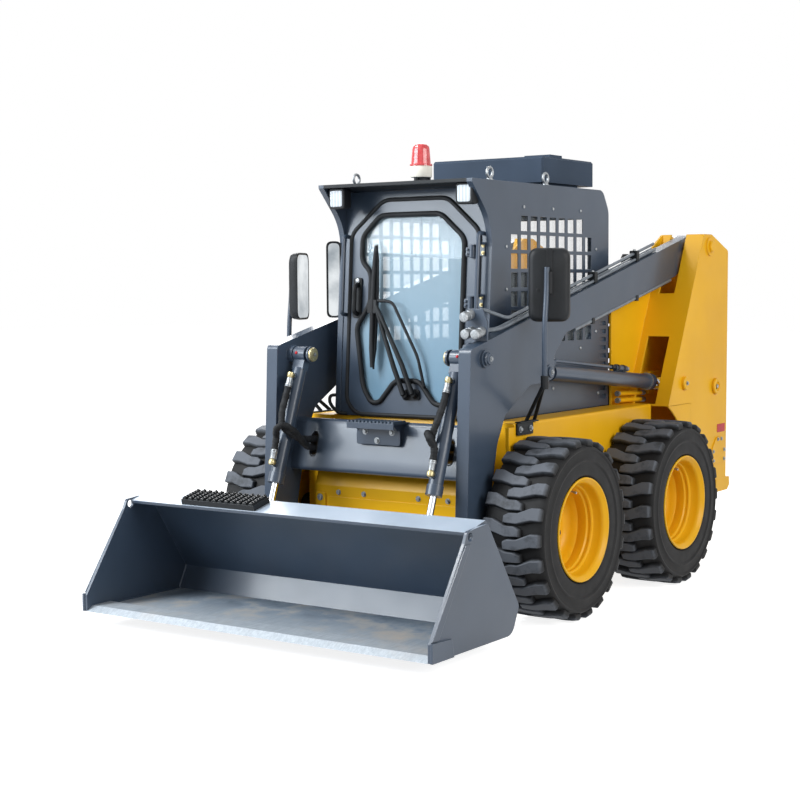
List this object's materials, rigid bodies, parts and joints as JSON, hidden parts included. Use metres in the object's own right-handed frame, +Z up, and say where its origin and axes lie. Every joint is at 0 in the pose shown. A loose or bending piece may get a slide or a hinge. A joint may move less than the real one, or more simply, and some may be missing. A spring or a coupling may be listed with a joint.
{
  "type": "skid steer loader",
  "caption": "Compact four-wheel skid steer loader with a glazed cab, vertical boom legs, hydraulic cylinders, a quick-attach plate and a wide dirt bucket.",
  "frame": {"origin": "under the middle of the machine's length and width, on the ground plane", "axes": "+Z up, -Y toward the bucket, +X toward the machine's left"},
  "size_m": [1.904, 3.413, 2.18],
  "materials": {
    "golden_paint": "gloss paint",
    "slate_paint": "satin paint",
    "dark_paint": "satin paint",
    "worn_steel": "worn",
    "engine_iron": "rough",
    "tyre_rubber": "matt",
    "chrome_rod": "polished",
    "window_glass": "clear",
    "black_plastic": "matt",
    "seat_vinyl": "matt",
    "beacon_lens": "clear red",
    "zinc": "plated"
  },
  "bodies": {
    "chassis": {"chassis_sides": "golden_paint", "axle_housings": "dark_paint", "belly_pan": "golden_paint", "towers": "golden_paint", "rear_bumper": "golden_paint", "engine_block": "engine_iron", "engine_hood": "slate_paint", "exhaust_stack": "zinc", "cab_sides": "slate_paint", "cab_windows": "window_glass", "cab_roof": "slate_paint", "cab_rear_wall": "slate_paint", "cab_front_frame": "slate_paint", "cab_floor": "dark_paint", "seat": "seat_vinyl", "controls": "black_plastic", "roof_unit": "slate_paint", "beacon": "beacon_lens", "lifting_eyes": "zinc", "work_lamps": "black_plastic", "mirrors": "black_plastic", "grab_rails": "dark_paint", "hinge_pins": "zinc"},
    "rear_door": {"rear_door": "slate_paint"},
    "cab_door": {"door_frame": "slate_paint", "door_glass": "window_glass", "door_fittings": "black_plastic"},
    "boom": {"boom_arm_left": "slate_paint", "boom_arm_right": "slate_paint", "boom_crossmember": "slate_paint", "aux_couplers": "zinc"},
    "bucket": {"bucket_shell": "slate_paint", "attach_plate": "dark_paint"},
    "tilt_barrel_left": {"tilt_barrel_left": "dark_paint", "tilt_hoses_left": "black_plastic"},
    "tilt_rod_left": {"tilt_rod_left": "chrome_rod"},
    "lift_barrel_left": {"lift_barrel_left": "dark_paint"},
    "lift_rod_left": {"lift_rod_left": "chrome_rod"},
    "wheel_front_left": {"tyre_front_left": "tyre_rubber", "rim_front_left": "golden_paint"},
    "wheel_rear_left": {"tyre_rear_left": "tyre_rubber", "rim_rear_left": "golden_paint"},
    "tilt_barrel_right": {"tilt_barrel_right": "dark_paint", "tilt_hoses_right": "black_plastic"},
    "tilt_rod_right": {"tilt_rod_right": "chrome_rod"},
    "lift_barrel_right": {"lift_barrel_right": "dark_paint"},
    "lift_rod_right": {"lift_rod_right": "chrome_rod"},
    "wheel_front_right": {"tyre_front_right": "tyre_rubber", "rim_front_right": "golden_paint"},
    "wheel_rear_right": {"tyre_rear_right": "tyre_rubber", "rim_rear_right": "golden_paint"}
  },
  "joints": [
    {"name": "boom_lift", "type": "hinge", "parent": "chassis", "child": "boom", "pos_m": [0, 1.4185, 1.724], "axis": [-1, 0, 0], "range_deg": [-1.2, 62]},
    {"name": "bucket_tilt", "type": "hinge", "parent": "boom", "child": "bucket", "pos_m": [0, -0.8665, 0.24], "axis": [1, 0, 0], "range_deg": [-27, 102]},
    {"name": "cab_door_swing", "type": "hinge", "parent": "chassis", "child": "cab_door", "pos_m": [0.34, -0.47003, 1.39176], "axis": [0, 0.0698, 0.9976], "range_deg": [0, 80]},
    {"name": "rear_door_swing", "type": "hinge", "parent": "chassis", "child": "rear_door", "pos_m": [-0.414, 1.6635, 0.86], "axis": [0, 0, 1], "range_deg": [0, 110]},
    {"name": "tilt_swing_left", "type": "hinge", "parent": "boom", "child": "tilt_barrel_left", "pos_m": [0.448, -0.7265, 1.195], "axis": [1, 0, 0], "range_deg": [-0.91, 3.16]},
    {"name": "tilt_slide_left", "type": "slide", "parent": "tilt_barrel_left", "child": "tilt_rod_left", "axis": [0, -0.3427, -0.9394], "range_m": [-0.0839, 0.3156]},
    {"name": "lift_swing_left", "type": "hinge", "parent": "boom", "child": "lift_barrel_left", "pos_m": [0.545, -0.1565, 1.108], "axis": [1, 0, 0], "range_deg": [-0.15, 2.89]},
    {"name": "lift_slide_left", "type": "slide", "parent": "lift_barrel_left", "child": "lift_rod_left", "axis": [0, 0.9957, -0.0928], "range_m": [-0.0162, 0.8121]},
    {"name": "spin_front_left", "type": "hinge", "parent": "chassis", "child": "wheel_front_left", "pos_m": [0.76, -0.4065, 0.415], "axis": [1, 0, 0], "continuous": true},
    {"name": "spin_rear_left", "type": "hinge", "parent": "chassis", "child": "wheel_rear_left", "pos_m": [0.76, 0.6615, 0.415], "axis": [1, 0, 0], "continuous": true},
    {"name": "tilt_swing_right", "type": "hinge", "parent": "boom", "child": "tilt_barrel_right", "pos_m": [-0.448, -0.7265, 1.195], "axis": [1, 0, 0], "range_deg": [-0.91, 3.16]},
    {"name": "tilt_slide_right", "type": "slide", "parent": "tilt_barrel_right", "child": "tilt_rod_right", "axis": [0, -0.3427, -0.9394], "range_m": [-0.0839, 0.3156]},
    {"name": "lift_swing_right", "type": "hinge", "parent": "boom", "child": "lift_barrel_right", "pos_m": [-0.545, -0.1565, 1.108], "axis": [1, 0, 0], "range_deg": [-0.15, 2.89]},
    {"name": "lift_slide_right", "type": "slide", "parent": "lift_barrel_right", "child": "lift_rod_right", "axis": [0, 0.9957, -0.0928], "range_m": [-0.0162, 0.8121]},
    {"name": "spin_front_right", "type": "hinge", "parent": "chassis", "child": "wheel_front_right", "pos_m": [-0.76, -0.4065, 0.415], "axis": [1, 0, 0], "continuous": true},
    {"name": "spin_rear_right", "type": "hinge", "parent": "chassis", "child": "wheel_rear_right", "pos_m": [-0.76, 0.6615, 0.415], "axis": [1, 0, 0], "continuous": true}
  ],
  "couplings": [
    {"joint": "tilt_swing_left", "follows": "bucket_tilt", "ratio": 0.03},
    {"joint": "tilt_slide_left", "follows": "bucket_tilt", "m_per_rad": 0.177},
    {"joint": "lift_swing_left", "follows": "boom_lift", "ratio": 0.045},
    {"joint": "lift_slide_left", "follows": "boom_lift", "m_per_rad": 0.75},
    {"joint": "spin_rear_left", "follows": "spin_front_left", "ratio": 1},
    {"joint": "tilt_swing_right", "follows": "bucket_tilt", "ratio": 0.03},
    {"joint": "tilt_slide_right", "follows": "bucket_tilt", "m_per_rad": 0.177},
    {"joint": "lift_swing_right", "follows": "boom_lift", "ratio": 0.045},
    {"joint": "lift_slide_right", "follows": "boom_lift", "m_per_rad": 0.75},
    {"joint": "spin_rear_right", "follows": "spin_front_right", "ratio": 1}
  ]
}
